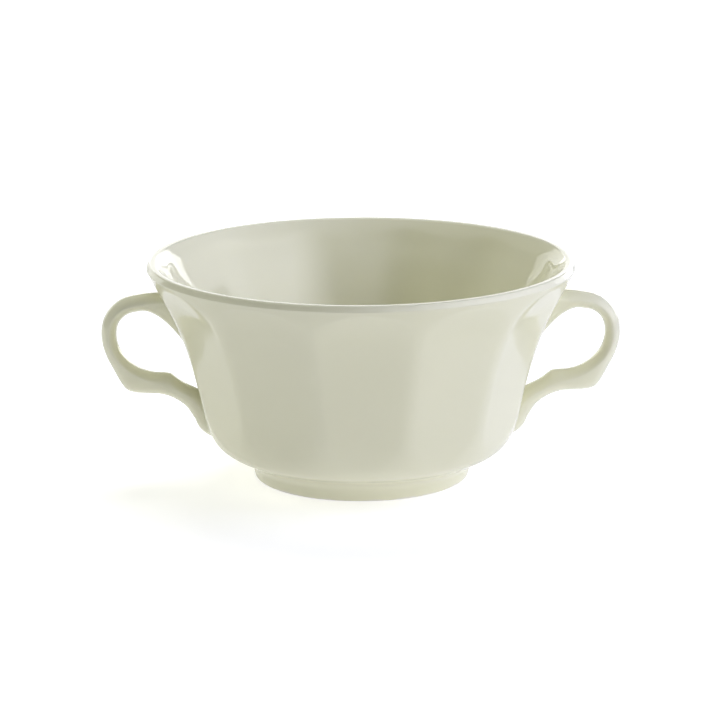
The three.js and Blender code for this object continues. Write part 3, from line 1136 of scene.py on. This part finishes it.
    def trim(self, turn: np.ndarray, inside: float, outside: float) -> np.ndarray:
        """Length along each line of the strap at which it lies just under the wall's surface.

        Args:
            turn: Angles round the section.
            inside: A length at which every line is deeper.
            outside: A length at which every line is clear of the wall.

        Returns:
            The length for each angle, by halving.
        """
        deep, clear = np.full_like(turn, inside), np.full_like(turn, outside)
        for _ in range(HALVINGS):
            middle = 0.5 * (deep + clear)
            under = self.clear_of_wall(self.plain(middle, turn)[0]) < -self.sunk
            deep, clear = np.where(under, middle, deep), np.where(under, clear, middle)
        return 0.5 * (deep + clear)

    def points(self) -> np.ndarray:
        """The handle on a grid: place along the strap between its roots, and angle round its section.

        Returns:
            Rows by columns by three.
        """
        turn, (first, last) = angles_round(self.columns)[0], self.clear_between
        start = self.trim(turn, 0.0, first * self.length)
        end = self.trim(turn, self.length, last * self.length)
        done = start + np.linspace(0.0, 1.0, self.stations)[:, None] * (end - start)
        points = self.slipped(done, np.broadcast_to(turn, done.shape))
        return points @ np.array(Matrix.Rotation(self.side.value, 3, "Z")).T

    def build(self, finish: bpy.types.Material) -> bpy.types.Object:
        """Makes the handle and dresses it.

        Args:
            finish: Its glaze.

        Returns:
            The handle's object.
        """
        points = self.points()
        piece = surface(f"glazed_handle_{self.side.word}", points, self.flow.pooling_and_light(points))
        return seat(piece, f"handle_{self.side.word}", finish)


class Work(Enum):
    """What a lamp does: it gives light, or it is what the glaze mirrors."""

    LIGHT = "light"
    MIRROR = "mirror"


@dataclass(frozen=True)
class Softbox:
    """A large soft lamp, aimed at the cup. Lengths are in metres."""

    name: str
    place: Place
    size: Span
    power: float
    tint: Colour = (1.0, 1.0, 1.0)
    aim: Place = (0.0, 0.0, 0.04)
    work: Work = Work.LIGHT

    def build(self) -> bpy.types.Object:
        """Makes the lamp.

        Returns:
            The lamp's object.
        """
        light = bpy.data.lights.new(self.name, "AREA")
        light.shape = "RECTANGLE"
        light.size, light.size_y = self.size
        light.energy, light.color = self.power, self.tint
        lamp = bpy.data.objects.new(self.name, light)
        lamp.location = self.place
        lamp.rotation_euler = (Vector(self.aim) - Vector(self.place)).to_track_quat("-Z", "Y").to_euler()
        lamp.visible_camera = False
        lamp.visible_diffuse = self.work is Work.LIGHT
        lamp.visible_glossy = self.work is Work.MIRROR
        bpy.context.scene.collection.objects.link(lamp)
        return lamp


@dataclass(frozen=True)
class Glow:
    """A soft bright part of the room, as the glaze mirrors it."""

    toward: Place
    strength: float
    narrowness: float = 4.0


@dataclass(frozen=True)
class Studio:
    """Pale floor, white surroundings, soft lamps and the photograph's camera. Lengths are in metres."""

    floor_half: float = 4.0
    floor_drop: float = 0.0001
    floor_tone: float = 0.86
    under_light: float = 0.33
    under_tint: Colour = (0.92, 0.92, 1.0)
    under_spread: Span = (0.05, 0.3)
    white_lift: float = 0.5
    floor_mirror: float = 0.3
    room_light: float = 0.1
    room_tint: Colour = (1.0, 1.0, 0.95)
    room_mirror: float = 0.2
    windows: tuple[Glow, ...] = (Glow((1.0, 0.0, 0.3), 2.85), Glow((0.7, -0.7, 0.4), 3.25))
    lamps: tuple[Softbox, ...] = (
        Softbox("key_right", (0.923, 0.0, 0.639), (0.8, 0.55), 5.7, (0.655, 0.68, 1.0)),
        Softbox("low_front", (0.766, -0.766, 0.231), (0.86, 0.34), 3.2, (1.0, 1.0, 0.93)),
        Softbox("fill_left", (-0.923, 0.0, 0.639), (0.8, 0.55), 3.6, (0.98, 1.0, 0.87)),
        Softbox("top_back", (0.0, 0.55, 0.993), (0.6, 0.55), 5.7),
        Softbox("back_wash", (0.0, 1.4, 0.3), (3.8, 0.58), 5.4, aim=(0.0, 0.0, 0.3)),
        Softbox("lit_backdrop", (0.9, 1.36, 0.3), (2.4, 0.58), 6.0, aim=(0.9, 0.0, 0.3), work=Work.MIRROR),
        Softbox("window_back_right", (0.55, 1.08, 0.22), (0.85, 0.42), 1.9, work=Work.MIRROR),
        Softbox("window_back_left", (-0.6, 1.05, 0.22), (0.9, 0.42), 1.5, work=Work.MIRROR),
    )
    focal_px: float = 3318.0
    image_px: float = 720.0
    distance: float = 0.928
    elevation: float = math.radians(14.0)
    azimuth: float = math.radians(-1.0)
    roll: float = math.radians(0.25)
    aim_height: float = 0.0307
    aim_px: Span = (361.2, 366.5)
    sensor_mm: float = 36.0
    clip: Span = (0.05, 20.0)

    def window(self, graph: Graph, glow: Glow, rest: object) -> Socket:
        """Adds a soft window to the mirrored room: a power of the cosine of the angle away from it.

        Args:
            graph: The graph to add the nodes to.
            glow: The window.
            rest: What the room gives without it.

        Returns:
            The socket of the room's strength with the window.
        """
        where = graph.add("ShaderNodeTexCoord").outputs["Generated"]
        beside = graph.add("ShaderNodeVectorMath", {"operation": "DOT_PRODUCT"})
        graph.feed(beside.inputs[0], where)
        graph.feed(beside.inputs[1], Vector(glow.toward).normalized())
        cosine = graph.maths("MAXIMUM", beside.outputs["Value"], 0.0)
        shine = graph.maths("POWER", cosine, glow.narrowness)
        return graph.maths("MULTIPLY_ADD", shine, glow.strength, rest)

    def surround(self) -> None:
        """White surroundings to look at, soft windows for the glaze to mirror, a little light all round."""
        world = bpy.data.worlds.new("white_room")
        world.use_nodes = True
        graph = Graph(world.node_tree)
        light = graph.add("ShaderNodeBackground", Color=(*self.room_tint, 1.0), Strength=self.room_light)
        strength: object = self.room_mirror
        for glow in self.windows:
            strength = self.window(graph, glow, strength)
        mirror = graph.add("ShaderNodeBackground", Color=WHITE, Strength=strength)
        white = graph.add("ShaderNodeBackground", Color=WHITE, Strength=1.0)
        lit = graph.either(graph.seen_by("Is Glossy Ray"), light, mirror)
        shown = graph.either(graph.seen_by(*EYE_RAYS), lit, white)
        graph.add("ShaderNodeOutputWorld", Surface=shown.outputs[0])
        bpy.context.scene.world = world

    def floor(self) -> bpy.types.Object:
        """A pale shooting table, lit a little from beneath, that looks white and keeps the cup's shadow.

        Returns:
            The floor's object.
        """
        half = self.floor_half
        corners = [(-half, -half, 0.0), (half, -half, 0.0), (half, half, 0.0), (-half, half, 0.0)]
        mesh = bpy.data.meshes.new("pale_floor")
        mesh.from_pydata(corners, [], [(0, 1, 2, 3)])
        floor = bpy.data.objects.new("pale_floor", mesh)
        floor.location.z = -self.floor_drop
        material, graph = fresh_material("pale_floor")
        where = graph.add("ShaderNodeTexCoord").outputs["Object"]
        away = graph.add("ShaderNodeVectorMath", {"operation": "LENGTH"}, Vector=where).outputs["Value"]
        close, far = self.under_spread
        spot = graph.ramp(away, (close, self.under_light), (far, 0.0), smooth=True)
        under = graph.add("ShaderNodeEmission", Color=(*self.under_tint, 1.0), Strength=spot)
        lift = graph.add("ShaderNodeEmission", Color=WHITE, Strength=self.white_lift)
        mirror = graph.add("ShaderNodeEmission", Color=WHITE, Strength=self.floor_mirror)
        lit = graph.either(graph.seen_by("Is Glossy Ray"), under, mirror)
        glow = graph.either(graph.seen_by(*EYE_RAYS), lit, lift)
        paint = graph.add("ShaderNodeBsdfDiffuse", Color=(*[self.floor_tone] * 3, 1.0))
        both = graph.add("ShaderNodeAddShader")
        for socket, shader in zip(both.inputs, (paint, glow)):
            graph.feed(socket, shader.outputs[0])
        below = graph.add("ShaderNodeNewGeometry").outputs["Backfacing"]
        sheet = graph.either(below, both, graph.add("ShaderNodeBsdfTransparent"))
        graph.add("ShaderNodeOutputMaterial", Surface=sheet.outputs[0])
        mesh.materials.append(material)
        bpy.context.scene.collection.objects.link(floor)
        return floor

    def camera(self) -> bpy.types.Object:
        """The photograph's camera, from its measured distance, height, turn and roll.

        Returns:
            The camera's object.
        """
        lens = bpy.data.cameras.new("photo_camera")
        lens.sensor_width = self.sensor_mm
        lens.lens = self.focal_px / self.image_px * lens.sensor_width
        lens.shift_x = (self.image_px / 2.0 - self.aim_px[0]) / self.image_px
        lens.shift_y = (self.aim_px[1] - self.image_px / 2.0) / self.image_px
        lens.clip_start, lens.clip_end = self.clip
        camera = bpy.data.objects.new("photo_camera", lens)
        around = Matrix.Rotation(self.azimuth, 4, "Z")
        down = Matrix.Rotation(math.pi / 2.0 - self.elevation, 4, "X")
        back = Matrix.Translation((0.0, 0.0, self.distance)) @ Matrix.Rotation(-self.roll, 4, "Z")
        camera.matrix_world = Matrix.Translation((0.0, 0.0, self.aim_height)) @ around @ down @ back
        bpy.context.scene.collection.objects.link(camera)
        bpy.context.scene.camera = camera
        return camera

    def build(self) -> None:
        """Sets up the whole studio."""
        self.surround()
        self.floor()
        self.camera()
        for lamp in self.lamps:
            lamp.build()
            log.info("lamp %s", lamp.name)
        bpy.context.scene.view_settings.view_transform = "Standard"


def main() -> None:
    """Builds the cup piece by piece, then the studio round it."""
    logging.basicConfig(level=logging.INFO, format="%(name)s: %(message)s")
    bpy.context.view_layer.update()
    glaze = IvoryGlaze().material()
    bowl = Bowl()
    bowl.build(glaze)
    FootRing(bowl).build(WipedFoot().material())
    for side in Side:
        EarHandle(bowl, side).build(glaze)
    Studio().build()


if __name__ == "__main__":
    main()
